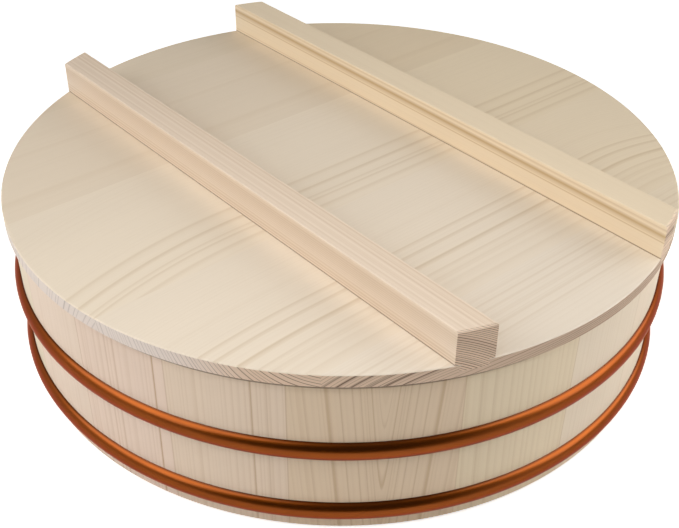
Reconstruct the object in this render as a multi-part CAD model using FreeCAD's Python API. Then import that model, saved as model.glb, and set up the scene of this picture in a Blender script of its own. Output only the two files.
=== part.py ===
"""Coopered wooden sushi rice tub with a flat lid.

The wall is a ring of staves under two half-round hoops. The bottom is a disc of planks whose
tongued rim sits in a groove inside the staves. The lid is a disc of boards held flat by two
battens on sliding dovetails. Bamboo pegs lie hidden in every glued joint.

Millimetres. The origin is the middle of the foot ring and +Z is up. The boards of the lid and of
the bottom run along X, and the battens run along Y.
"""
import FreeCAD, Part
import math
import os

from FreeCAD import Vector

# Wall
rim_diameter = 330.0
foot_inset = 1.0
wall_height = 84.8
wall_thickness = 11.0
rim_bevel = 1.0
foot_bevel = 1.2

# Staves, each with its share of the way round, counted from the first joint
stave_shares = (50, 53, 73, 56, 48, 61, 52, 45, 58, 66, 49, 54, 60, 47, 57, 51, 63, 46, 48)
first_joint_angle = 186.3

# Bottom, and the groove in the staves that holds its rim
foot_recess = 6.0
bottom_thickness = 9.0
bottom_bevel = 1.5
groove_depth = 3.0
groove_clearance = 0.1
bottom_plank_count = 4

# Hoops, flat inside and round outside
hoop_height = 9.7
hoop_crown = 3.5
hoop_clearance = 0.05
upper_hoop_level = 47.6
lower_hoop_level = 11.4

# Lid, with each board's share of the way across it, counted from the front
lid_overhang = 2.5
lid_thickness = 6.6
lid_edge_bevel = 0.4
lid_board_shares = (45, 86, 86, 86, 32)

# Battens on the lid
batten_width = 16.0
batten_height = 17.1
left_batten_offset = -62.9
right_batten_offset = 58.4
batten_rounding = 0.6
batten_end_bevel = 0.8
dovetail_neck = 10.6
dovetail_foot = 12.8
dovetail_depth = 3.3
dovetail_clearance = 0.05

# Bamboo pegs, six-sided and pointed at both ends, in blind holes across the joints
peg_size = 2.6
peg_length = 18.0
peg_point_length = 3.0
peg_sides = 6
peg_hole_clearance = 0.05
peg_hole_end_room = 0.5
peg_hole_cover = 2.0
lower_peg_level = 30.0
upper_peg_level = 66.0
bottom_peg_pitch = 60.0

# Worked out from the sizes above
rim_radius = rim_diameter / 2
foot_radius = rim_radius - foot_inset
lid_radius = rim_radius + lid_overhang
wall_slope = foot_inset / wall_height
bottom_top = foot_recess + bottom_thickness
groove_low = foot_recess + bottom_bevel
groove_high = bottom_top - bottom_bevel
lid_top = wall_height + lid_thickness
batten_top = lid_top + batten_height
dovetail_low = lid_top - dovetail_depth
peg_reach = peg_length / 2 + peg_hole_end_room

CENTRE = Vector(0, 0, 0)
UP = Vector(0, 0, 1)
ALONG_BATTENS = Vector(0, 1, 0)


def outer_radius(level):
    """Radius of the wall's outer face at a height."""
    return foot_radius + wall_slope * level


def inner_radius(level):
    """Radius of the wall's inner face at a height."""
    return outer_radius(level) - wall_thickness


def polygon_face(points):
    """Flat face with straight edges through these points."""
    return Part.Face(Part.makePolygon(points + points[:1]))


def turned(outline, start_angle=0.0, sweep=360.0):
    """Solid turned about Z from an outline of (radius, level) points."""
    face = polygon_face([Vector(radius, 0, level) for radius, level in outline])
    face.rotate(CENTRE, UP, start_angle)
    return face.revolve(CENTRE, UP, sweep)


def parted(start, length, shares):
    """Where a length is parted when it is shared out in these shares, both its ends included."""
    marks = [start]
    for share in shares:
        marks.append(marks[-1] + length * share / sum(shares))
    return marks


def stave(start_angle, end_angle):
    """One stave between two joints: a slice of the tapered wall with its groove inside."""
    groove_radius = inner_radius(groove_low) + groove_depth
    below_rim = wall_height - rim_bevel
    outline = [
        (outer_radius(0) - foot_bevel, 0),
        (outer_radius(foot_bevel), foot_bevel),
        (outer_radius(below_rim), below_rim),
        (rim_radius - rim_bevel, wall_height),
        (inner_radius(wall_height) + rim_bevel, wall_height),
        (inner_radius(below_rim), below_rim),
        (inner_radius(groove_high), groove_high),
        (groove_radius, groove_high),
        (groove_radius, groove_low),
        (inner_radius(groove_low), groove_low),
        (inner_radius(foot_bevel), foot_bevel),
        (inner_radius(0) + foot_bevel, 0),
    ]
    return turned(outline, start_angle, end_angle - start_angle)


def bottom_disc(rim):
    """The bottom before it is parted into planks, bevelled to a tongue out to its rim."""
    tongue_top = groove_high - groove_clearance
    shoulder = inner_radius(groove_low) - groove_clearance
    outline = [
        (0, foot_recess),
        (shoulder - bottom_bevel, foot_recess),
        (shoulder, groove_low),
        (rim, groove_low),
        (rim, tongue_top),
        (shoulder, tongue_top),
        (shoulder - bottom_bevel, bottom_top),
        (0, bottom_top),
    ]
    return turned(outline)


def hoop(level):
    """A hoop of half-round section whose flat inner face follows the taper of the wall."""
    tilt = math.atan(wall_slope)
    along = Vector(math.sin(tilt), 0, math.cos(tilt))
    outward = Vector(math.cos(tilt), 0, -math.sin(tilt))
    seat = Vector(outer_radius(level), 0, level) + outward * hoop_clearance
    low = seat - along * (hoop_height / 2)
    high = seat + along * (hoop_height / 2)
    crown = Part.Arc(low, seat + outward * hoop_crown, high).toShape()
    flat = Part.LineSegment(high, low).toShape()
    return Part.Face(Part.Wire([crown, flat])).revolve(CENTRE, UP, 360)


def peg_corners(size, x):
    """Corners of a peg's six-sided section across X, on a circle of this size."""
    angles = [2 * math.pi * side / peg_sides for side in range(peg_sides)]
    return [Vector(x, size / 2 * math.cos(a), size / 2 * math.sin(a)) for a in angles]


def peg():
    """One peg along X, middle at the origin: a six-sided stick cut to a point at both ends."""
    straight = peg_length / 2 - peg_point_length
    left = peg_corners(peg_size, -straight)
    right = peg_corners(peg_size, straight)
    left_tip = Vector(-peg_length / 2, 0, 0)
    right_tip = Vector(peg_length / 2, 0, 0)
    faces = []
    for side in range(peg_sides):
        after = (side + 1) % peg_sides
        faces.append(polygon_face([left[side], right[side], right[after], left[after]]))
        faces.append(polygon_face([left_tip, left[side], left[after]]))
        faces.append(polygon_face([right_tip, right[after], right[side]]))
    return Part.Solid(Part.Shell(faces))


def peg_bore():
    """The two blind holes that one peg fills, end to end along X."""
    corners = peg_corners(peg_size + 2 * peg_hole_clearance, -peg_reach)
    return polygon_face(corners).extrude(Vector(2 * peg_reach, 0, 0))


def placed(shape, place):
    """Copy of a shape that lies along X, turned about Z and moved to its place."""
    position, heading = place
    copy = shape.copy()
    copy.rotate(CENTRE, UP, heading)
    copy.translate(position)
    return copy


def drilled(piece, places):
    """The piece with a peg's hole at each place."""
    return piece.cut([placed(peg_bore(), place) for place in places])


def peg_group(places):
    """The pegs at these places, as one group of separate solids."""
    return Part.makeCompound([placed(peg(), place) for place in places])


def stave_peg_places(angle):
    """Places of the pegs across the joint between staves at this angle, amid the wall."""
    places = []
    for level in (lower_peg_level, upper_peg_level):
        radius = outer_radius(level) - wall_thickness / 2
        x = radius * math.cos(math.radians(angle))
        y = radius * math.sin(math.radians(angle))
        places.append((Vector(x, y, level), angle + 90))
    return places


def board_peg_places(joint, disc_radius, level, middle, pitch):
    """Places of the pegs across a joint between boards: evenly spaced, and inside the rim."""
    inside = disc_radius - peg_hole_cover
    far_end = abs(joint) + peg_reach
    if far_end >= inside:
        return []
    half_row = math.sqrt(inside**2 - far_end**2)
    steps = math.ceil(half_row / pitch)
    offsets = [middle + (step + 0.5) * pitch for step in range(-steps, steps)]
    return [(Vector(x, joint, level), 90) for x in offsets if abs(x) < half_row]


def board(disc, low, high):
    """The board of a disc that lies between two joints across Y."""
    box = disc.BoundBox
    corner = Vector(box.XMin, low, box.ZMin)
    return disc.common(Part.makeBox(box.XLength, high - low, box.ZLength, corner))


def boards_and_pegs(disc, shares, radius, level, middle, pitch):
    """The boards of a disc, drilled for the pegs across their joints, and the pegs' places."""
    edges = parted(-radius, 2 * radius, shares)
    rows = [board_peg_places(joint, radius, level, middle, pitch) for joint in edges[1:-1]]
    rows = [[]] + rows + [[]]
    boards = []
    for i in range(len(shares)):
        boards.append(drilled(board(disc, edges[i], edges[i + 1]), rows[i] + rows[i + 1]))
    return boards, sum(rows, [])


def bottom_planks_and_pegs():
    """The bottom's planks, of equal width, and the places of their pegs."""
    rim = inner_radius(groove_low) + groove_depth - groove_clearance
    level = foot_recess + bottom_thickness / 2
    shares = [1] * bottom_plank_count
    return boards_and_pegs(bottom_disc(rim), shares, rim, level, 0.0, bottom_peg_pitch)


def batten_outline(offset, neck, foot, low):
    """Corners of a dovetail across X, from the lid's top face down to its wide foot."""
    return [
        Vector(offset - neck / 2, -lid_radius, lid_top),
        Vector(offset - foot / 2, -lid_radius, low),
        Vector(offset + foot / 2, -lid_radius, low),
        Vector(offset + neck / 2, -lid_radius, lid_top),
    ]


def batten_groove(offset):
    """The dovetail groove right across the lid that a batten slides into."""
    play = 2 * dovetail_clearance
    low = dovetail_low - dovetail_clearance
    outline = batten_outline(offset, dovetail_neck + play, dovetail_foot + play, low)
    return polygon_face(outline).extrude(ALONG_BATTENS * 2 * lid_radius)


def lid_disc():
    """The lid before it is parted into boards, with its rim eased."""
    outline = [
        (0, wall_height),
        (lid_radius - lid_edge_bevel, wall_height),
        (lid_radius, wall_height + lid_edge_bevel),
        (lid_radius, lid_top - lid_edge_bevel),
        (lid_radius - lid_edge_bevel, lid_top),
        (0, lid_top),
    ]
    return turned(outline)


def lid_boards_and_pegs():
    """The lid's boards, grooved for the battens, and the places of their pegs.

    No peg meets a groove: the nearest stand a quarter of the battens' spacing to either side.
    """
    middle = (left_batten_offset + right_batten_offset) / 2
    pitch = (right_batten_offset - left_batten_offset) / 2
    level = wall_height + (lid_thickness - dovetail_depth) / 2
    disc = lid_disc().cut([batten_groove(left_batten_offset), batten_groove(right_batten_offset)])
    return boards_and_pegs(disc, lid_board_shares, lid_radius, level, middle, pitch)


def batten_trim():
    """The round that the battens' ends are cut to, flush with the lid and bevelled on top."""
    outline = [
        (0, dovetail_low),
        (lid_radius, dovetail_low),
        (lid_radius, batten_top - batten_end_bevel),
        (lid_radius - batten_end_bevel, batten_top),
        (0, batten_top),
    ]
    return turned(outline)


def batten(offset):
    """A batten: a bar with eased top edges on a dovetail tongue, its ends cut to the round."""
    left = offset - batten_width / 2
    right = offset + batten_width / 2
    bar = Part.makeBox(batten_width, 2 * lid_radius, batten_height, Vector(left, -lid_radius, lid_top))
    top_edges = [
        edge
        for edge in bar.Edges
        if edge.BoundBox.ZMin > lid_top and edge.BoundBox.YLength > lid_radius
    ]
    bar = bar.makeFillet(batten_rounding, top_edges)
    tongue = batten_outline(offset, dovetail_neck, dovetail_foot, dovetail_low)
    tongue = polygon_face(tongue).extrude(ALONG_BATTENS * 2 * lid_radius)
    return bar.fuse(tongue).common(batten_trim())


def save(shape, node):
    """Write one piece, or one group of like pieces, under its node's name."""
    shape.exportStep(os.path.join("parts", node + ".step"))


def save_wall():
    angles = parted(first_joint_angle, 360.0, stave_shares)
    for number in range(len(stave_shares)):
        start = angles[number]
        end = angles[number + 1]
        places = stave_peg_places(start) + stave_peg_places(end)
        save(drilled(stave(start, end), places), f"stave_{number + 1:02d}")
    save(peg_group(sum([stave_peg_places(angle) for angle in angles[1:]], [])), "stave_pegs")
    save(hoop(upper_hoop_level), "upper_hoop")
    save(hoop(lower_hoop_level), "lower_hoop")


def save_bottom():
    planks, places = bottom_planks_and_pegs()
    for number, plank in enumerate(planks, 1):
        save(plank, f"bottom_plank_{number}")
    save(peg_group(places), "bottom_pegs")


def save_lid():
    boards, places = lid_boards_and_pegs()
    for number, piece in enumerate(boards, 1):
        save(piece, f"lid_board_{number}")
    save(peg_group(places), "lid_pegs")
    save(batten(left_batten_offset), "left_batten")
    save(batten(right_batten_offset), "right_batten")


def main():
    os.makedirs("parts", exist_ok=True)
    save_wall()
    save_bottom()
    save_lid()


main()
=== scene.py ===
"""Looks of a coopered wooden rice tub: pale sawara wood, two copper hoops and a flat boarded lid.

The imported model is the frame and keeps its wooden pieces. Each board gets a wood that is cut
from its own place in a log, and the hoops are drawn again as smooth half-round copper rings.
"""

import math
from collections import namedtuple

import bpy
import numpy as np
from bpy.props import FloatProperty, FloatVectorProperty, IntProperty, PointerProperty
from mathutils import Matrix, Vector


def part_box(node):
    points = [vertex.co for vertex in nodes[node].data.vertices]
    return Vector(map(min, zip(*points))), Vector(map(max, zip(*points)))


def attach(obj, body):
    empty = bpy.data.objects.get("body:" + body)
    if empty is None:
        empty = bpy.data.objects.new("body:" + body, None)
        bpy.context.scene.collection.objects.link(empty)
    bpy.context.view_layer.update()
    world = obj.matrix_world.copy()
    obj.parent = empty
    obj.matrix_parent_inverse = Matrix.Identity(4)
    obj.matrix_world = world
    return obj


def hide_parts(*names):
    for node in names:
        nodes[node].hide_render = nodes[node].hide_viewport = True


bl_info = {
    "name": "Wooden rice tub",
    "version": (1, 0, 0),
    "blender": (4, 5, 0),
    "location": "3D View > Sidebar > Rice tub",
    "description": "Dresses a coopered rice tub in wood and copper and sets it on a white stage",
    "category": "Object",
}

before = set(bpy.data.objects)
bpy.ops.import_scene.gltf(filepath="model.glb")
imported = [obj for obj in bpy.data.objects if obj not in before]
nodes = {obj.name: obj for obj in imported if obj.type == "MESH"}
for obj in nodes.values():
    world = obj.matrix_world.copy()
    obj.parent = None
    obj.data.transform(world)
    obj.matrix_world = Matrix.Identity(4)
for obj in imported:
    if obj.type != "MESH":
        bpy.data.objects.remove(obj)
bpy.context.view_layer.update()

MILLIMETRE = 0.001


def shade(red, green, blue):
    """A colour written as it shows on a screen, 0 to 255, as the linear one that shaders take."""
    shown = np.array((red, green, blue)) / 255.0
    linear = np.where(shown <= 0.04045, shown / 12.92, ((shown + 0.055) / 1.055) ** 2.4)
    return tuple(float(part) for part in linear)


# Shader building


class Signal:
    """A shader value in sums: each operation on it adds the Math node that works it out."""

    def __init__(self, recipe, socket):
        self.recipe = recipe
        self.socket = socket

    def math(self, operation, *others):
        return self.recipe.math(operation, self, *others)

    def __add__(self, other):
        return self.math("ADD", other)

    def __sub__(self, other):
        return self.math("SUBTRACT", other)

    def __rsub__(self, other):
        return self.recipe.math("SUBTRACT", other, self)

    def __mul__(self, other):
        return self.math("MULTIPLY", other)

    def __truediv__(self, other):
        return self.math("DIVIDE", other)

    def __abs__(self):
        return self.math("ABSOLUTE")

    __radd__ = __add__
    __rmul__ = __mul__


class Recipe:
    """The node tree of one finish, of a floor or of the world, built node by node."""

    def __init__(self, tree):
        self.tree = tree
        tree.nodes.clear()

    def node(self, kind, settings=None, inputs=None):
        """Adds a node, sets it up, and then gives its sockets their values or links."""
        made = self.tree.nodes.new(kind)
        for name, value in (settings or {}).items():
            if name == "stops":
                self.fill_ramp(made.color_ramp, value)
            else:
                setattr(made, name, value)
        for key, value in (inputs or {}).items():
            self.feed(made.inputs[key], value)
        return made

    def fill_ramp(self, ramp, stops):
        """Gives a colour ramp its stops, each a place from 0 to 1 and a grey level."""
        while len(ramp.elements) > 1:
            ramp.elements.remove(ramp.elements[0])
        for number, (place, level) in enumerate(stops):
            element = ramp.elements[0] if number == 0 else ramp.elements.new(place)
            element.position = place
            element.color = (level, level, level, 1.0)

    def feed(self, socket, value):
        if isinstance(value, Signal):
            self.tree.links.new(value.socket, socket)
        elif isinstance(value, bpy.types.NodeSocket):
            self.tree.links.new(value, socket)
        elif socket.type == "RGBA" and len(value) == 3:
            socket.default_value = (*value, 1.0)
        else:
            socket.default_value = value

    def math(self, operation, *values):
        made = self.node("ShaderNodeMath", {"operation": operation}, dict(enumerate(values)))
        return Signal(self, made.outputs[0])

    def rise(self, value, low, high):
        """A smooth step that is 0 up to low and 1 from high on."""
        settings = {"interpolation_type": "SMOOTHSTEP"}
        inputs = {"Value": value, "From Min": low, "From Max": high}
        return Signal(self, self.node("ShaderNodeMapRange", settings, inputs).outputs[0])

    def mix(self, factor, first, second, blend="MIX"):
        """A colour between two others, or another blend of them."""
        settings = {"data_type": "RGBA", "blend_type": blend}
        inputs = {0: factor, 6: first, 7: second}
        return self.node("ShaderNodeMix", settings, inputs).outputs[2]

    def scaled(self, colour, factor):
        """A colour or vector made stronger or weaker by a value."""
        inputs = {0: colour, "Scale": factor}
        return self.node("ShaderNodeVectorMath", {"operation": "SCALE"}, inputs).outputs[0]

    def vector(self, x, y, z):
        return self.node("ShaderNodeCombineXYZ", None, {0: x, 1: y, 2: z}).outputs[0]

    def parts(self, vector):
        made = self.node("ShaderNodeSeparateXYZ", None, {0: vector})
        return [Signal(self, socket) for socket in made.outputs]

    def noise(self, place, scale=1.0, detail=2.0, rough=0.5):
        """Soft noise from 0 to 1 with its middle at a half."""
        inputs = {"Vector": place, "Scale": scale, "Detail": detail, "Roughness": rough}
        return Signal(self, self.node("ShaderNodeTexNoise", None, inputs).outputs[0])

    def line_noise(self, value, scale=1.0, detail=1.0):
        """Soft noise along one value."""
        settings = {"noise_dimensions": "1D"}
        inputs = {"W": value, "Scale": scale, "Detail": detail}
        return Signal(self, self.node("ShaderNodeTexNoise", settings, inputs).outputs[0])

    def chance(self, value):
        """A random number from 0 to 1, the same for the same value."""
        settings = {"noise_dimensions": "1D"}
        made = self.node("ShaderNodeTexWhiteNoise", settings, {"W": value})
        return Signal(self, made.outputs[0])

    def finish(self, kind, shader):
        self.node(kind, None, {0: shader})


def new_material(name):
    material = bpy.data.materials.new(name)
    material.use_nodes = True
    return material, Recipe(material.node_tree)


# Wood

# Streak is one dark year line: a place that it runs through, how dark it is and how wide, in mm
Streak = namedtuple("Streak", "across deep dark width")

# Cut says where in the log a board was cut, in millimetres in the board's own directions:
# the pith's place, how it leans along the board, the width of a year's growth, how far the
# grain wanders, how strong the year lines are, the dark streaks, the bends of the grain
# towards either end, the tone that its faces are multiplied by, how dark the years are on sawn
# ends, how many times darker a streak is there, and how fast the trunk tapers from a level on.
Cut = namedtuple(
    "Cut",
    "pith_across pith_deep lean_across lean_deep year wander strength streaks bends tone "
    "ends marks taper level",
    defaults=(0.4, 0.0, 0.0, 0.0),
)

HOOPS = ("upper_hoop", "lower_hoop")

# Directions of a board: which object axis runs along its grain, across it and into its depth
ALONG_X = (0, 1, 2)
ALONG_Y = (1, 0, 2)
UPRIGHT = (2, 1, 0)

# How fast each unevenness of the wood changes along the grain, across it and into its depth,
# in steps of its noise a millimetre
DRIFT_PACE = (0.006, 0.012, 0.012)
FIBRE_PACE = (0.02, 1.5, 1.5)
PATCH_PACE = (0.004, 0.02, 0.02)
YEAR_PACE = 0.11

# Years differ in width, by up to this many years, and each kind of chance has its own seed
YEAR_SPREAD = 2.2
WIDTH_SEED = 7.0
CHANCE_SEED = 3.0

# Shares of a year's width: where its wood darkens on a face and on a sawn end, and where it ends
FACE_RISE = (0.35, 0.93)
SAWN_RISE = (0.70, 0.90)
YEAR_END = (0.94, 1.0)

# How dark the palest year is beside the darkest, on a face and on a sawn end
PALEST_FACE = 0.25
PALEST_SAWN = 0.4

# The share of a streak's width that lies before its darkest place
STREAK_BEFORE = 0.75


def board_place(recipe, order, turn=0.0):
    """The place in a board, in millimetres along the grain, across it and into its depth."""
    coordinates = recipe.node("ShaderNodeTexCoord").outputs["Object"]
    scale = (1.0 / MILLIMETRE,) * 3
    inputs = {"Vector": coordinates, "Rotation": (0.0, 0.0, turn), "Scale": scale}
    turned = recipe.node("ShaderNodeMapping", {"vector_type": "POINT"}, inputs).outputs[0]
    values = recipe.parts(turned)
    return [values[axis] for axis in order]


def paced(recipe, place, pace, seed=0.0):
    """A place in a noise that changes at its own pace in each direction of a board."""
    along, across, deep = [value * rate for value, rate in zip(place, pace)]
    return recipe.vector(along + seed, across, deep)


def year_lines(recipe, along, across, deep, cut, seed):
    """How dark the late wood is at each point: on faces, on sawn ends and in the streaks, if any.

    The years are shells round the pith, so a point's year is its distance from the pith, which
    leans and wanders along the board, over a year's width. Within a year the wood darkens
    slowly and ends at a sharp edge, and each year has its own chance darkness.
    """
    slow = paced(recipe, (along, across, deep), DRIFT_PACE, seed)
    drift = (recipe.noise(slow) - 0.5) * (2.0 * cut.wander)
    side = across - cut.pith_across - along * cut.lean_across + drift
    for start, amount in cut.bends:
        past = along - start if amount > 0.0 else start - along
        reach = past.math("MAXIMUM", 0.0)
        side = side + reach * reach * amount if amount > 0.0 else side - reach * reach * amount
    below = deep - cut.pith_deep - along * cut.lean_deep
    distance = (side * side + below * below).math("SQRT")
    if cut.taper:
        distance = distance - (along - cut.level) * cut.taper
    uneven = (recipe.line_noise(distance + seed * WIDTH_SEED, YEAR_PACE) - 0.5) * YEAR_SPREAD
    years = distance / cut.year + uneven
    part = years.math("FRACT")
    number = years.math("FLOOR")
    edge = 1.0 - recipe.rise(part, *YEAR_END)
    dark = PALEST_FACE + (1.0 - PALEST_FACE) * recipe.chance(number + seed * CHANCE_SEED)
    soft = recipe.rise(part, *FACE_RISE) * edge * dark
    thin = recipe.rise(part, *SAWN_RISE) * edge * (PALEST_SAWN + (1.0 - PALEST_SAWN) * dark)
    streaks = streaks_of(recipe, distance, cut) if cut.streaks else None
    return soft, thin, streaks


def streaks_of(recipe, distance, cut):
    """The dark streaks of a cut, as a ramp over the distance from the pith.

    Each streak is given by a place that it runs through, which sets its distance.
    """
    middles = []
    for streak in cut.streaks:
        reach = math.hypot(streak.across - cut.pith_across, streak.deep - cut.pith_deep)
        middles.append((reach, streak))
    middles.sort(key=lambda pair: pair[0])
    margin = max(streak.width for streak in cut.streaks)
    low = middles[0][0] - margin
    high = middles[-1][0] + margin
    stops = [(0.0, 0.0)]
    for reach, streak in middles:
        before = reach - STREAK_BEFORE * streak.width
        after = reach + (1.0 - STREAK_BEFORE) * streak.width
        for place, level in ((before, 0.0), (reach, streak.dark), (after, 0.0)):
            stops.append(((place - low) / (high - low), level))
    stops.append((1.0, 0.0))
    place = (distance - low) / (high - low)
    ramp = recipe.node("ShaderNodeValToRGB", {"stops": stops}, {"Fac": place})
    return Signal(recipe, ramp.outputs[0])


# Between these two turns of a face towards the grain, long grain gives way to end grain. On a
# sawn edge the turns are those towards the lid's top, and end grain gives way to long grain.
END_TURN = (0.45, 0.85)
TOP_TURN = (0.35, 0.75)

# Along its boards, from -X to +X, the lid's round edge is paler with painted cool light, then plain
# and then darker with painted shade, and its top turns yellower with painted warm light. Each
# change lies between two places.
COOL_LIT_SPAN = (-156.0, -130.0)
EDGE_SHADE_SPAN = (-120.0, 0.0)
WARM_LIT_SPAN = (10.0, 110.0)
COOL_LIT_SHARE = 0.6
EDGE_SHADE_SHARE = 0.33
WARM_LIT_TONE = (0.995, 0.965, 0.88)
WHITE = (1.0, 1.0, 1.0)

# Painted shadow lines, in millimetres: below a stave's top, where the lid's overhang shades it, and
# on either side of a place just above a batten's foot, where it meets the lid. Each fades between
# two distances.
LID_PAINTED_SHADOW = (2.2, 3.0)
LID_PAINTED_SHADOW_DARK = 0.75
FOOT_RISE = 0.2
FOOT_PAINTED_SHADOW = (0.15, 0.5)
FOOT_PAINTED_SHADOW_DARK = 0.6

# A joint's line is darkest within this distance of the joint, in millimetres
JOINT_CORE = 0.05

# Relief of a planed face: fibres stand up and late wood is sunk, by shares of the distance
FIBRE_HEIGHT = 0.7
YEAR_SINK = 0.3
RELIEF = {"Strength": 0.35, "Distance": 0.00012}

# How much rougher fibres and end grain are than the rest
FIBRE_ROUGH = 0.12
END_ROUGH = 0.15


def wood(name, order, cut, seed, turn=0.0, sawn_edge=False, joint=None, covered=None, foot=None):
    """A planed softwood board with its own years, fibres, end grain and joint line.

    sawn_edge treats every upright face as sawn, as on the lid's round rim. joint is a
    function of a place across and deep that gives the distance to the nearest joint. covered
    is the level of a lid that lies over the board, with a painted shadow line below it, and
    foot is the level that the board stands on, with such a painted shadow line along it.
    """
    looks = bpy.context.scene.tub_wood
    material, recipe = new_material(name)
    along, across, deep = board_place(recipe, order, turn)
    soft, thin, streaks = year_lines(recipe, along, across, deep, cut, seed)

    # Fibres are long thin noise along the grain, and patches are broad and weak
    place = (along, across, deep)
    fibres = recipe.noise(paced(recipe, place, FIBRE_PACE), detail=3.0, rough=0.6) - 0.5
    patches = recipe.noise(paced(recipe, place, PATCH_PACE, seed)) - 0.5

    facing = recipe.parts(recipe.node("ShaderNodeNewGeometry").outputs["Normal"])
    if sawn_edge:
        end = 1.0 - recipe.rise(abs(facing[2]), *TOP_TURN)
    else:
        end = recipe.rise(abs(facing[order[0]]), *END_TURN)

    dark = soft * cut.strength
    if joint is not None:
        gap = 1.0 - recipe.rise(joint(across, deep), JOINT_CORE, looks.joint_width)
        dark = dark + gap * looks.joint_dark
    thin = thin * cut.ends
    if streaks is not None:
        dark = dark + streaks
        thin = thin + (streaks * cut.marks).math("MINIMUM", looks.end_line)
    face = recipe.mix(dark.math("MINIMUM", 1.0), looks.early, looks.late)
    face = recipe.mix(1.0, face, cut.tone, "MULTIPLY")
    ground = looks.end_early
    # Painted cool light towards the edge's -X end, painted shade towards +X, and painted warm light
    # on the top towards +X
    if sawn_edge:
        cool_lit = 1.0 - recipe.rise(along, *COOL_LIT_SPAN)
        stain_and_shade = recipe.rise(along, *EDGE_SHADE_SPAN)
        thin = thin * (1.0 - cool_lit * COOL_LIT_SHARE) + stain_and_shade * EDGE_SHADE_SHARE
        ground = recipe.mix(cool_lit, looks.end_early, looks.end_cool_lit)
        warm_light = recipe.mix(recipe.rise(along, *WARM_LIT_SPAN), WHITE, WARM_LIT_TONE)
        face = recipe.mix(1.0, face, warm_light, "MULTIPLY")
    sawn = recipe.mix(thin.math("MINIMUM", 1.0), ground, looks.end_late)
    colour = recipe.mix(end, face, sawn)
    level = 1.0 + fibres * looks.fibre + patches * looks.patch
    colour = recipe.scaled(colour, level)
    # Painted shadow below the lid's overhang
    if covered is not None:
        painted_shadow = 1.0 - recipe.rise(covered - along, *LID_PAINTED_SHADOW)
        colour = recipe.mix(painted_shadow * LID_PAINTED_SHADOW_DARK, colour, looks.end_late)
    # Painted shadow along the foot, where the batten meets the lid
    if foot is not None:
        painted_shadow = (1.0 - recipe.rise(abs(deep - (foot + FOOT_RISE)), *FOOT_PAINTED_SHADOW)) * (1.0 - end)
        colour = recipe.mix(painted_shadow * FOOT_PAINTED_SHADOW_DARK, colour, looks.end_late)

    height = fibres * FIBRE_HEIGHT - soft * YEAR_SINK
    bump = recipe.node("ShaderNodeBump", None, {**RELIEF, "Height": height}).outputs[0]
    roughness = looks.roughness + fibres * FIBRE_ROUGH + end * END_ROUGH
    shader = recipe.node("ShaderNodeBsdfPrincipled", None, {
        "Base Color": colour,
        "Roughness": roughness,
        "IOR": 1.45,
        "Specular IOR Level": 0.35,
        "Normal": bump,
    })
    recipe.finish("ShaderNodeOutputMaterial", shader.outputs[0])
    return material


def dress(name, material):
    """Gives a node of the frame its finish, in each of its material slots."""
    piece = nodes[name]
    slots = piece.material_slots
    if len(slots) == 0:
        piece.data.materials.append(material)
    for slot in slots:
        slot.material = material


def mesh_points(name):
    """The corner points of a node of the frame, in millimetres."""
    mesh = nodes[name].data
    points = np.empty(len(mesh.vertices) * 3)
    mesh.vertices.foreach_get("co", points)
    return points.reshape(-1, 3) / MILLIMETRE


def stave_angles(name):
    """The middle direction of a stave and half its width, as angles read off its mesh."""
    points = mesh_points(name)
    centre = points[:, :2].mean(axis=0)
    middle = math.atan2(centre[1], centre[0])
    angles = np.arctan2(points[:, 1], points[:, 0]) - middle
    angles = (angles + math.pi) % (2.0 * math.pi) - math.pi
    low, high = angles.min(), angles.max()
    return middle + (low + high) / 2.0, (high - low) / 2.0


def reach_on(name, axis):
    """A piece's lowest and highest place on an axis, in millimetres."""
    low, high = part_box(name)
    return low[axis] / MILLIMETRE, high[axis] / MILLIMETRE


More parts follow.
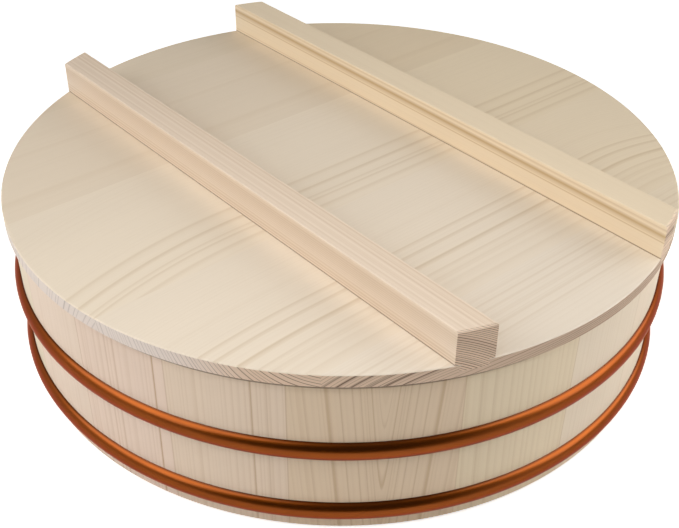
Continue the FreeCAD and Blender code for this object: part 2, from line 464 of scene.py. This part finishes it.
# Cuts of the boards that the camera sees best. The others are cut at random from a seed.
LID_TOP = 91.4
LID_CUTS = {
    "lid_board_1": Cut(
        -188.0, 38.0, 0.004, 0.0, 1.3, 0.5, 0.07,
        (
            Streak(-127.0, LID_TOP, 0.07, 1.6), Streak(-131.0, LID_TOP, 0.11, 1.6),
            Streak(-135.0, LID_TOP, 0.10, 1.6), Streak(-139.5, LID_TOP, 0.08, 1.6),
            Streak(-144.0, LID_TOP, 0.11, 1.6), Streak(-149.0, LID_TOP, 0.08, 1.6),
        ),
        (), (1.0, 0.99, 0.98), 0.6, 6.0,
    ),
    "lid_board_2": Cut(
        -128.0, 116.0, 0.006, 0.0, 1.7, 0.6, 0.05,
        (
            Streak(-66.0, LID_TOP, 0.04, 2.5), Streak(-80.0, LID_TOP, 0.20, 2.4),
            Streak(-86.2, LID_TOP, 0.22, 2.4), Streak(-94.9, LID_TOP, 0.29, 2.8),
            Streak(-102.2, LID_TOP, 0.12, 2.2), Streak(-106.5, LID_TOP, 0.11, 2.2),
            Streak(-111.5, LID_TOP, 0.06, 2.0), Streak(-117.0, LID_TOP, 0.07, 2.0),
        ),
        ((97.0, 0.0042), (-90.0, -0.0011)), (1.0, 0.98, 0.95), 0.9,
    ),
    "lid_board_3": Cut(
        -62.0, 60.0, -0.0125, 0.0, 3.0, 1.0, 0.035,
        (
            Streak(46.0, LID_TOP, 0.04, 1.6), Streak(42.0, LID_TOP, 0.03, 1.6),
            Streak(-5.0, LID_TOP, 0.17, 3.2), Streak(-13.4, LID_TOP, 0.24, 2.8),
            Streak(-20.6, LID_TOP, 0.17, 1.8), Streak(-23.6, LID_TOP, 0.20, 1.8),
            Streak(-29.8, LID_TOP, 0.14, 2.6),
        ),
        ((-74.0, -0.0019),), (1.0, 0.975, 0.93), 0.8,
    ),
    "lid_board_4": Cut(
        20.0, 30.0, 0.004, 0.0, 4.5, 1.5, 0.025,
        (Streak(66.0, LID_TOP, 0.07, 4.0), Streak(104.0, LID_TOP, 0.06, 4.0)),
        (), (0.96, 0.92, 0.86),
    ),
    "lid_board_5": Cut(
        90.0, 40.0, 0.0, 0.0, 4.0, 1.2, 0.03, (), (), (0.93, 0.89, 0.82),
    ),
}


class TubSizes(bpy.types.PropertyGroup):
    """Sizes of the pieces that are drawn here."""

    hoop_height: FloatProperty(
        name="Hoop height", description="Height of a hoop's flat back",
        default=0.0097, min=0.001, unit="LENGTH",
    )
    hoop_crown: FloatProperty(
        name="Hoop crown", description="How far a hoop's round face stands out",
        default=0.00344, min=0.0005, unit="LENGTH",
    )
    rounds: IntProperty(
        name="Steps round", description="Steps round a hoop", default=360, min=24,
    )
    face_steps: IntProperty(
        name="Steps over", description="Steps over a hoop's round face", default=20, min=4,
    )


class TubWood(bpy.types.PropertyGroup):
    """Colours and strengths of the wood."""

    early: FloatVectorProperty(
        name="Early wood", description="Pale wood of the spring", subtype="COLOR",
        default=shade(232, 219, 201), min=0.0, max=1.0,
    )
    late: FloatVectorProperty(
        name="Late wood", description="Darker wood at the end of a year", subtype="COLOR",
        default=shade(162, 118, 8), min=0.0, max=1.0,
    )
    end_early: FloatVectorProperty(
        name="End grain", description="Pale wood on sawn ends", subtype="COLOR",
        default=shade(226, 198, 172), min=0.0, max=1.0,
    )
    # This greyer end grain is painted cool light on the -X end of the lid's edge
    end_cool_lit: FloatVectorProperty(
        name="Bleached end grain", description="Greyer wood on one end of the lid's edge",
        subtype="COLOR", default=shade(227, 213, 202), min=0.0, max=1.0,
    )
    end_late: FloatVectorProperty(
        name="End grain lines", description="Year lines on sawn ends", subtype="COLOR",
        default=shade(94, 65, 44), min=0.0, max=1.0,
    )
    end_line: FloatProperty(
        name="Darkest end line", description="How dark a streak gets on sawn ends",
        default=0.7, min=0.0, max=1.0,
    )
    fibre: FloatProperty(
        name="Fibres", description="Strength of the fine fibres", default=0.06, min=0.0, max=1.0,
    )
    patch: FloatProperty(
        name="Patches", description="Strength of the broad patches", default=0.08, min=0.0, max=1.0,
    )
    joint_width: FloatProperty(
        name="Joint width", description="Width of the dark line at a joint, in millimetres",
        default=0.5, min=0.1,
    )
    joint_dark: FloatProperty(
        name="Joint darkness", description="How dark a joint's line is",
        default=0.22, min=0.0, max=1.0,
    )
    roughness: FloatProperty(
        name="Roughness", description="Roughness of planed wood", default=0.55, min=0.0, max=1.0,
    )


class TubCopper(bpy.types.PropertyGroup):
    """Finish of the hoops."""

    colour: FloatVectorProperty(
        name="Copper", description="Colour of the copper", subtype="COLOR",
        default=(0.285, 0.066, 0.003), min=0.0, max=1.0,
    )
    roughness: FloatProperty(
        name="Roughness", description="Roughness of the copper", default=0.32, min=0.0, max=1.0,
    )


class TubStage(bpy.types.PropertyGroup):
    """Light round the tub."""

    side_light: FloatProperty(
        name="Side lamps", description="Power of the lamps at the sides", default=13.9,
        min=0.0, unit="POWER",
    )
    top_light: FloatProperty(
        name="Top lamp", description="Power of the lamp above the lid's front", default=1.6,
        min=0.0, unit="POWER",
    )
    glint: FloatProperty(
        name="Glints", description="Power of the lamps that only show in the copper",
        default=8.0, min=0.0, unit="POWER",
    )
    ambient: FloatProperty(
        name="Ambient", description="Brightness of the room round the tub", default=0.06, min=0.0,
    )


def plank_gap(low, high):
    """The distance from a plank's nearer long edge."""
    middle, half = (low + high) / 2.0, (high - low) / 2.0
    return lambda across, deep: half - abs(across - middle)


def stave_gap(half):
    """The distance from a stave's nearer joint, which is a plane through the tub's axis."""
    return lambda across, deep: deep * math.sin(half) - abs(across) * math.cos(half)


def random_cut(draw, strength=0.07):
    """A rift-sawn cut with its pith well to one side."""
    side = draw.choice((-1.0, 1.0))
    return Cut(
        side * draw.uniform(45.0, 90.0), 165.0 - draw.uniform(10.0, 70.0),
        draw.uniform(-0.03, 0.03), draw.uniform(-0.03, 0.03), draw.uniform(2.0, 3.6),
        draw.uniform(0.4, 1.0), strength, (), (),
        (1.0, draw.uniform(0.94, 0.965), draw.uniform(0.86, 0.90)),
    )


# Staves in front of the camera, counted from the first joint. Places are across from the
# stave's middle and out from the tub's axis.
WALL_FACE = 164.5
STAVE_CUTS = {
    1: Cut(
        -70.0, 120.0, 0.02, 0.0, 2.4, 0.4, 0.15,
        (
            Streak(-21.6, WALL_FACE, 0.10, 1.4), Streak(-14.7, WALL_FACE, 0.12, 1.2),
            Streak(-7.2, WALL_FACE, 0.16, 1.2), Streak(-2.6, WALL_FACE, 0.22, 1.2),
            Streak(17.9, WALL_FACE, 0.60, 1.1), Streak(24.7, WALL_FACE, 0.50, 1.0),
        ),
        (), (0.99, 0.885, 0.86),
    ),
    2: Cut(
        -80.0, 130.0, 0.0, 0.0, 2.0, 0.3, 0.14,
        (
            Streak(12.1, WALL_FACE, 0.38, 1.3), Streak(18.4, WALL_FACE, 0.24, 1.2),
            Streak(26.2, WALL_FACE, 0.30, 1.2),
        ),
        (), (0.985, 0.895, 0.83),
    ),
    3: Cut(
        3.2, 162.0, 0.0, 0.0118, 2.3, 0.4, 0.10,
        (
            Streak(5.1, WALL_FACE, 0.20, 0.35), Streak(-2.0, WALL_FACE, 0.36, 0.8),
            Streak(10.4, WALL_FACE, 0.22, 0.7), Streak(13.0, WALL_FACE, 0.24, 0.8),
            Streak(-9.8, WALL_FACE, 0.26, 0.9), Streak(-14.8, WALL_FACE, 0.26, 1.0),
            Streak(-20.4, WALL_FACE, 0.34, 2.6), Streak(35.7, WALL_FACE, 0.20, 1.4),
        ),
        (), (0.945, 0.84, 0.72), 0.4, 0.0, 0.075, 76.0,
    ),
    4: Cut(
        75.0, 120.0, -0.03, 0.0, 2.8, 0.6, 0.13, (Streak(-18.0, WALL_FACE, 0.18, 1.6),),
        (), (0.985, 0.925, 0.79),
    ),
    19: Cut(80.0, 110.0, 0.02, 0.0, 3.0, 0.5, 0.07, (), (), (1.0, 0.915, 0.88)),
}


class DressStaves(bpy.types.Operator):
    """Gives each stave of the wall its own wood, with a fine line at its joints"""

    bl_idname = "tub.dress_staves"
    bl_label = "Dress the staves"

    def execute(self, context):
        names = sorted(name for name in nodes if name.startswith("stave_") and name != "stave_pegs")
        if not names:
            raise RuntimeError("the frame has no staves")
        for number, name in enumerate(names, 1):
            middle, half = stave_angles(name)
            top = reach_on(name, 2)[1]
            draw = np.random.default_rng(100 + number)
            cut = STAVE_CUTS.get(number) or random_cut(draw)
            material = wood(
                "sawara_" + name, UPRIGHT, cut, 3.7 * number, turn=-middle,
                joint=stave_gap(half), covered=top,
            )
            dress(name, material)
        return {"FINISHED"}


class DressLid(bpy.types.Operator):
    """Gives each board of the lid its own wood, with the years running on into its round edge"""

    bl_idname = "tub.dress_lid"
    bl_label = "Dress the lid boards"

    def execute(self, context):
        for number, (name, cut) in enumerate(sorted(LID_CUTS.items())):
            material = wood(
                "sawara_" + name, ALONG_X, cut, 1.9 + 2.3 * number, sawn_edge=True,
            )
            dress(name, material)
        return {"FINISHED"}


# The battens' cuts are told by their sides that face the camera and by their common top
BATTEN_TOP = 108.5
LEFT_SIDE = -70.9
RIGHT_SIDE = 50.4
BATTEN_SEEDS = {"left_batten": 4.4, "right_batten": 8.1}
BATTEN_CUTS = {
    "left_batten": Cut(
        -101.7, 30.0, 0.0, 0.0, 0.95, 0.15, 0.17,
        (
            Streak(LEFT_SIDE, 92.0, 0.24, 0.8), Streak(LEFT_SIDE, 93.4, 0.26, 0.8),
            Streak(LEFT_SIDE, 94.9, 0.30, 0.8), Streak(LEFT_SIDE, 96.6, 0.24, 0.8),
            Streak(LEFT_SIDE, 105.5, 0.16, 10.0),
            Streak(-67.5, BATTEN_TOP, 0.12, 1.0), Streak(-64.5, BATTEN_TOP, 0.14, 1.0),
            Streak(-61.0, BATTEN_TOP, 0.15, 1.0), Streak(-58.4, BATTEN_TOP, 0.17, 1.0),
            Streak(-56.5, BATTEN_TOP, 0.22, 1.0),
        ),
        (), (0.975, 0.91, 0.87), 1.5, 1.2,
    ),
    "right_batten": Cut(
        40.0, 30.0, 0.0, 0.005, 1.6, 0.5, 0.06,
        (
            Streak(RIGHT_SIDE, 92.6, 0.22, 1.4), Streak(RIGHT_SIDE, 100.8, 0.46, 1.0),
            Streak(RIGHT_SIDE, 104.0, 0.56, 8.5), Streak(RIGHT_SIDE, 107.2, 0.26, 2.0),
        ),
        (), (1.01, 0.945, 0.82), 0.8, 1.0,
    ),
}


class DressBattens(bpy.types.Operator):
    """Gives the two battens their quarter-sawn wood"""

    bl_idname = "tub.dress_battens"
    bl_label = "Dress the battens"

    def execute(self, context):
        for name, cut in BATTEN_CUTS.items():
            seed = BATTEN_SEEDS[name]
            dress(name, wood("sawara_" + name, ALONG_Y, cut, seed, foot=LID_TOP))
        return {"FINISHED"}


class DressBottom(bpy.types.Operator):
    """Gives the planks of the bottom their wood"""

    bl_idname = "tub.dress_bottom"
    bl_label = "Dress the bottom"

    def execute(self, context):
        for number in range(1, 5):
            name = "bottom_plank_%d" % number
            low, high = reach_on(name, 1)
            draw = np.random.default_rng(40 + number)
            middle = (low + high) / 2.0
            cut = Cut(
                middle + draw.uniform(-30.0, 30.0), -draw.uniform(20.0, 50.0),
                draw.uniform(-0.01, 0.01), draw.uniform(-0.03, 0.03), draw.uniform(2.4, 3.6),
                1.0, 0.12, (), (), (1.0, 0.975, 0.94),
            )
            material = wood(
                "sawara_" + name, ALONG_X, cut, 20.0 + number, joint=plank_gap(low, high),
            )
            dress(name, material)
        return {"FINISHED"}


class DressPegs(bpy.types.Operator):
    """Gives the hidden bamboo pegs their finish"""

    bl_idname = "tub.dress_pegs"
    bl_label = "Dress the pegs"

    def execute(self, context):
        material, recipe = new_material("bamboo")
        coordinates = recipe.node("ShaderNodeTexCoord").outputs["Object"]
        grain = recipe.noise(coordinates, scale=900.0, detail=3.0)
        broad = recipe.noise(coordinates, scale=60.0, detail=2.0)
        colour = recipe.mix(grain, shade(222, 196, 132), shade(186, 152, 92))
        colour = recipe.scaled(colour, 0.9 + broad * 0.2)
        shader = recipe.node("ShaderNodeBsdfPrincipled", None, {
            "Base Color": colour, "Roughness": 0.4 + grain * 0.2,
        })
        recipe.finish("ShaderNodeOutputMaterial", shader.outputs[0])
        for name in ("stave_pegs", "bottom_pegs", "lid_pegs"):
            dress(name, material)
        return {"FINISHED"}


def ring_mesh(name, profile, steps):
    """A closed ring: a closed profile of radius and height, turned round the Z axis.

    Point (i, j) is profile point j at the angle 2 pi i / steps. Both ways round close on
    themselves, and the faces point outwards for a profile that runs anticlockwise.
    """
    angles = np.linspace(0.0, 2.0 * math.pi, steps, endpoint=False)
    radius, height = profile[:, 0], profile[:, 1]
    points = np.stack([
        np.outer(np.cos(angles), radius),
        np.outer(np.sin(angles), radius),
        np.tile(height, (steps, 1)),
    ], axis=-1).reshape(-1, 3)
    count = len(profile)
    i, j = np.meshgrid(np.arange(steps), np.arange(count), indexing="ij")
    onward, above = (i + 1) % steps, (j + 1) % count
    faces = np.stack([
        i * count + j, onward * count + j, onward * count + above, i * count + above,
    ], axis=-1).reshape(-1, 4)
    mesh = bpy.data.meshes.new(name)
    mesh.from_pydata(points.tolist(), [], faces.tolist())
    mesh.update()
    return mesh


def hoop_profile(foot, head, height, crown, steps):
    """A half-round section: an arc from the hoop's foot up to its head, then its flat back.

    The arc's radius follows from the chord and the crown, and it is laid out evenly by angle.
    foot and head are the back's radius at its two ends, with their heights.
    """
    half = height / 2.0
    arc_radius = (half * half + crown * crown) / (2.0 * crown)
    reach = math.asin(half / arc_radius)
    turn = np.linspace(-reach, reach, steps + 1)
    out = arc_radius * np.cos(turn) - (arc_radius - crown)
    rise = arc_radius * np.sin(turn)
    share = (rise + half) / height
    radius = foot[0] + (head[0] - foot[0]) * share + out
    level = foot[1] + (head[1] - foot[1]) * share
    back_share = np.array((0.75, 0.5, 0.25))
    back = np.stack([
        foot[0] + (head[0] - foot[0]) * back_share,
        foot[1] + (head[1] - foot[1]) * back_share,
    ], axis=-1)
    return np.concatenate([np.stack([radius, level], axis=-1), back])


# Painted shade darkens the copper just below a hoop's upper edge, in the crease against the wall.
# It grows between two heights over the hoop's middle, in metres.
CREASE_SHADE = (0.00425, 0.00475)
CREASE_SHADE_DARK = 0.6

# Marks of the drawing die run round a hoop, with this pace round it and up it
DRAWN_ROUND = 3.0
DRAWN_UP = 9000.0

# What stains leave of the copper's red, green and blue
STAIN_SHARES = (0.8, 0.7, 0.6)


def copper():
    """Polished copper under clear lacquer, with fine drawing marks and slight stains."""
    looks = bpy.context.scene.tub_copper
    material, recipe = new_material("lacquered_copper")
    coordinates = recipe.node("ShaderNodeTexCoord").outputs["Object"]
    x, y, z = recipe.parts(coordinates)
    angle = recipe.math("ARCTAN2", y, x)
    drawn = recipe.noise(recipe.vector(angle * DRAWN_ROUND, z * DRAWN_UP, 0.0)) - 0.5
    stain = recipe.noise(coordinates, scale=45.0, detail=3.0) - 0.5
    stain_and_shade = tuple(part * share for part, share in zip(looks.colour, STAIN_SHARES))
    colour = recipe.mix(0.5 + stain, tuple(looks.colour), stain_and_shade)
    low = sum(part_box("lower_hoop")[row][2] for row in (0, 1)) / 2.0
    high = sum(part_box("upper_hoop")[row][2] for row in (0, 1)) / 2.0
    above = z - low - recipe.math("GREATER_THAN", z, (low + high) / 2.0) * (high - low)
    # Painted shade in the crease at each hoop's upper edge
    painted_crease_shade = recipe.rise(above, *CREASE_SHADE)
    colour = recipe.scaled(colour, 1.0 - painted_crease_shade * CREASE_SHADE_DARK)
    bump = recipe.node("ShaderNodeBump", None, {
        "Strength": 0.25, "Distance": 0.00003, "Height": drawn,
    }).outputs[0]
    shader = recipe.node("ShaderNodeBsdfPrincipled", None, {
        "Base Color": colour,
        "Metallic": 1.0,
        "Roughness": looks.roughness + stain * 0.12,
        "Specular Tint": (1.0, 0.42, 0.12),
        "Coat Weight": 0.25,
        "Coat Roughness": 0.2,
        "Normal": bump,
    })
    recipe.finish("ShaderNodeOutputMaterial", shader.outputs[0])
    return material


# Points this near a hoop's foot or head, in metres, tell the radius of its back there
BACK_NEAR = 0.0002

# Edges sharper than this angle, in degrees, stay sharp
SHARP_ANGLE = 40.0


class MakeHoops(bpy.types.Operator):
    """Draws the two half-round copper hoops as smooth rings in the place of the frame's"""

    bl_idname = "tub.make_hoops"
    bl_label = "Make the hoops"

    def execute(self, context):
        sizes = context.scene.tub_sizes
        material = copper()
        for name in HOOPS:
            points = mesh_points(name) * MILLIMETRE
            radius, level = np.hypot(points[:, 0], points[:, 1]), points[:, 2]
            low, high = level.min(), level.max()
            foot = (radius[level < low + BACK_NEAR].min(), low)
            head = (radius[level > high - BACK_NEAR].min(), high)
            profile = hoop_profile(
                foot, head, sizes.hoop_height, sizes.hoop_crown, sizes.face_steps,
            )
            mesh = ring_mesh("smooth_" + name, profile, sizes.rounds)
            mesh.polygons.foreach_set("use_smooth", np.ones(len(mesh.polygons), dtype=bool))
            mesh.set_sharp_from_angle(angle=math.radians(SHARP_ANGLE))
            mesh.materials.append(material)
            ring = bpy.data.objects.new("smooth_" + name, mesh)
            context.collection.objects.link(ring)
            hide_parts(name)
            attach(ring, "root")
        return {"FINISHED"}


# The camera, found from the lid's rim, the hoops and the battens, in metres and degrees
CAMERA_PLACE = (-0.3135, -0.3642, 0.3700)
CAMERA_HEADING = -40.725
CAMERA_PITCH = 54.20
CAMERA_ROLL = 0.613
CAMERA_LENS = 57.53
CAMERA_SENSOR = 36.0

# The floor: half its width, its white, and its glow to the camera near the tub, which rises to
# the full glow between two distances
FLOOR_HALF = 4.0
FLOOR_WHITE = (0.94, 0.94, 0.94)
FLOOR_GLOW = 0.60
FLOOR_AWAY = (0.35, 1.2)

# How much of the floor's glow the copper mirrors at the tub's sides, how much less it is in front,
# and between which cosines of the angle to the camera it falls
SIDE_MIRROR = 0.32
FRONT_LESS = 0.20
FRONT_TURN = (0.5, 0.95)

# The room: the height of its dark part, between which cosines that fades, how dark it is, and how
# bright the copper sees the rest
DARK_HEIGHT = 0.38
DARK_TURN = (0.5, 0.9)
DARK_SHARE = 0.92
ROOM_MIRROR = 0.6

# Lamp is a large soft lamp: its angle round the tub, how far out and how high it stands, in
# degrees and metres, the point that it faces, its width and height, and its power, as the name
# of a setting and a share of it. A mirrored lamp shows only as a highlight, and any other lamp
# only lights the surfaces.
Lamp = namedtuple("Lamp", "angle out up aim width height power share mirrored")
TUB_MIDDLE = (0.0, 0.0, 0.05)


def around(angle, out, up):
    """A place at an angle round the tub from +X, a distance out and a height up."""
    turn = math.radians(angle)
    return (out * math.cos(turn), out * math.sin(turn), up)


LAMPS = {
    "left_lamp": Lamp(154.0, 1.3, 0.72, TUB_MIDDLE, 1.25, 1.1, "side_light", 1.0, False),
    "right_lamp": Lamp(322.0, 1.3, 0.54, TUB_MIDDLE, 1.25, 1.1, "side_light", 1.0, False),
    "top_lamp": Lamp(229.0, 0.3, 0.55, around(229.0, 0.2, 0.0), 0.4, 0.4, "top_light", 1.0, False),
    "left_glint": Lamp(161.0, 0.8, 0.92, TUB_MIDDLE, 1.0, 1.0, "glint", 1.0, True),
    "right_glint": Lamp(320.0, 0.97, 0.8, TUB_MIDDLE, 1.05, 1.05, "glint", 1.2, True),
}


def floor_material():
    """White paper that takes the tub's shadow and shows white to the camera."""
    material, recipe = new_material("white_floor")
    light_path = recipe.node("ShaderNodeLightPath")
    seen = [Signal(recipe, light_path.outputs[name]) for name in
            ("Is Camera Ray", "Is Glossy Ray", "Is Transmission Ray")]
    x, y = recipe.parts(recipe.node("ShaderNodeTexCoord").outputs["Object"])[:2]
    radius = (x * x + y * y).math("SQRT")
    camera_x, camera_y = CAMERA_PLACE[:2]
    toward = (x * camera_x + y * camera_y) / (radius * math.hypot(camera_x, camera_y))
    mirror = SIDE_MIRROR - recipe.rise(toward, *FRONT_TURN) * FRONT_LESS
    shown = (seen[0] + seen[1] * mirror + seen[2]).math("MINIMUM", 1.0)
    paper = recipe.node("ShaderNodeBsdfDiffuse", None, {"Color": FLOOR_WHITE})
    glow = recipe.node("ShaderNodeEmission", None, {"Color": WHITE, "Strength": 1.0})
    lit = recipe.node("ShaderNodeAddShader", None, {0: paper.outputs[0], 1: glow.outputs[0]})
    glowing = FLOOR_GLOW + recipe.rise(radius, *FLOOR_AWAY) * (1.0 - FLOOR_GLOW)
    bright = recipe.node("ShaderNodeMixShader", None, {
        0: glowing, 1: paper.outputs[0], 2: lit.outputs[0],
    })
    shader = recipe.node("ShaderNodeMixShader", None, {
        0: shown, 1: paper.outputs[0], 2: bright.outputs[0],
    })
    recipe.finish("ShaderNodeOutputMaterial", shader.outputs[0])
    return material


def world_light(ambient):
    """A pale room that shows white to the camera and is dark only behind the camera."""
    world = bpy.data.worlds.new("studio")
    world.use_nodes = True
    bpy.context.scene.world = world
    recipe = Recipe(world.node_tree)
    way = recipe.node("ShaderNodeTexCoord").outputs["Generated"]
    back = Vector((*CAMERA_PLACE[:2], DARK_HEIGHT)).normalized()
    inputs = {0: way, 1: tuple(back)}
    toward = recipe.node("ShaderNodeVectorMath", {"operation": "DOT_PRODUCT"}, inputs)
    behind = recipe.rise(Signal(recipe, toward.outputs["Value"]), *DARK_TURN)
    room = 1.0 - behind * DARK_SHARE
    light_path = recipe.node("ShaderNodeLightPath")
    camera = Signal(recipe, light_path.outputs["Is Camera Ray"])
    clear = Signal(recipe, light_path.outputs["Is Transmission Ray"])
    glossy = Signal(recipe, light_path.outputs["Is Glossy Ray"])
    white = (camera + clear).math("MINIMUM", 1.0)
    metal = glossy * room * (ROOM_MIRROR - ambient)
    strength = white + (1.0 - white) * (room * ambient + metal)
    glow = recipe.node("ShaderNodeBackground", None, {"Color": WHITE, "Strength": strength})
    recipe.finish("ShaderNodeOutputWorld", glow.outputs[0])


def add_lamp(name, lamp, looks):
    """Sets up a lamp of the table, with its power from the stage's settings."""
    data = bpy.data.lights.new(name, "AREA")
    data.shape = "RECTANGLE"
    data.size = lamp.width
    data.size_y = lamp.height
    data.energy = getattr(looks, lamp.power) * lamp.share
    made = bpy.data.objects.new(name, data)
    place = around(lamp.angle, lamp.out, lamp.up)
    made.location = place
    way = Vector(lamp.aim) - Vector(place)
    made.rotation_euler = way.to_track_quat("-Z", "Y").to_euler()
    made.visible_camera = False
    made.visible_glossy = lamp.mirrored
    made.visible_diffuse = not lamp.mirrored
    bpy.context.collection.objects.link(made)


class SetStage(bpy.types.Operator):
    """Sets the camera, the white floor and the soft lamps"""

    bl_idname = "tub.set_stage"
    bl_label = "Set the stage"

    def execute(self, context):
        looks = context.scene.tub_stage
        data = bpy.data.cameras.new("view")
        data.lens = CAMERA_LENS
        data.sensor_width = CAMERA_SENSOR
        data.sensor_fit = "HORIZONTAL"
        camera = bpy.data.objects.new("view", data)
        heading = Matrix.Rotation(math.radians(CAMERA_HEADING), 4, "Z")
        pitch = Matrix.Rotation(math.radians(CAMERA_PITCH), 4, "X")
        roll = Matrix.Rotation(math.radians(CAMERA_ROLL), 4, "Z")
        camera.matrix_world = Matrix.Translation(CAMERA_PLACE) @ heading @ pitch @ roll
        context.collection.objects.link(camera)
        context.scene.camera = camera

        mesh = bpy.data.meshes.new("floor")
        signs = ((-1.0, -1.0), (1.0, -1.0), (1.0, 1.0), (-1.0, 1.0))
        corners = [(side * FLOOR_HALF, front * FLOOR_HALF, 0.0) for side, front in signs]
        mesh.from_pydata(corners, [], [(0, 1, 2, 3)])
        mesh.materials.append(floor_material())
        floor = bpy.data.objects.new("floor", mesh)
        context.collection.objects.link(floor)

        world_light(looks.ambient)
        for name, lamp in LAMPS.items():
            add_lamp(name, lamp, looks)

        context.scene.view_settings.view_transform = "Standard"
        return {"FINISHED"}


class TubPanel(bpy.types.Panel):
    """Lists what dresses the tub"""

    bl_idname = "VIEW3D_PT_rice_tub"
    bl_label = "Rice tub"
    bl_space_type = "VIEW_3D"
    bl_region_type = "UI"
    bl_category = "Rice tub"

    def draw(self, context):
        for operator in OPERATORS:
            self.layout.operator(operator.bl_idname)
        for group in ("tub_sizes", "tub_wood", "tub_copper", "tub_stage"):
            settings = getattr(context.scene, group)
            box = self.layout.box()
            for name in settings.__annotations__:
                box.prop(settings, name)


OPERATORS = (
    SetStage, DressStaves, DressLid, DressBattens, DressBottom, DressPegs, MakeHoops,
)
GROUPS = {
    "tub_sizes": TubSizes, "tub_wood": TubWood, "tub_copper": TubCopper, "tub_stage": TubStage,
}


def register():
    for group in GROUPS.values():
        bpy.utils.register_class(group)
    for name, group in GROUPS.items():
        setattr(bpy.types.Scene, name, PointerProperty(type=group))
    for operator in OPERATORS:
        bpy.utils.register_class(operator)
    bpy.utils.register_class(TubPanel)


def unregister():
    bpy.utils.unregister_class(TubPanel)
    for operator in reversed(OPERATORS):
        bpy.utils.unregister_class(operator)
    for name, group in GROUPS.items():
        delattr(bpy.types.Scene, name)
        bpy.utils.unregister_class(group)


def main():
    register()
    bpy.ops.tub.set_stage()
    bpy.ops.tub.dress_staves()
    bpy.ops.tub.dress_lid()
    bpy.ops.tub.dress_battens()
    bpy.ops.tub.dress_bottom()
    bpy.ops.tub.dress_pegs()
    bpy.ops.tub.make_hoops()


if __name__ == "__main__":
    main()
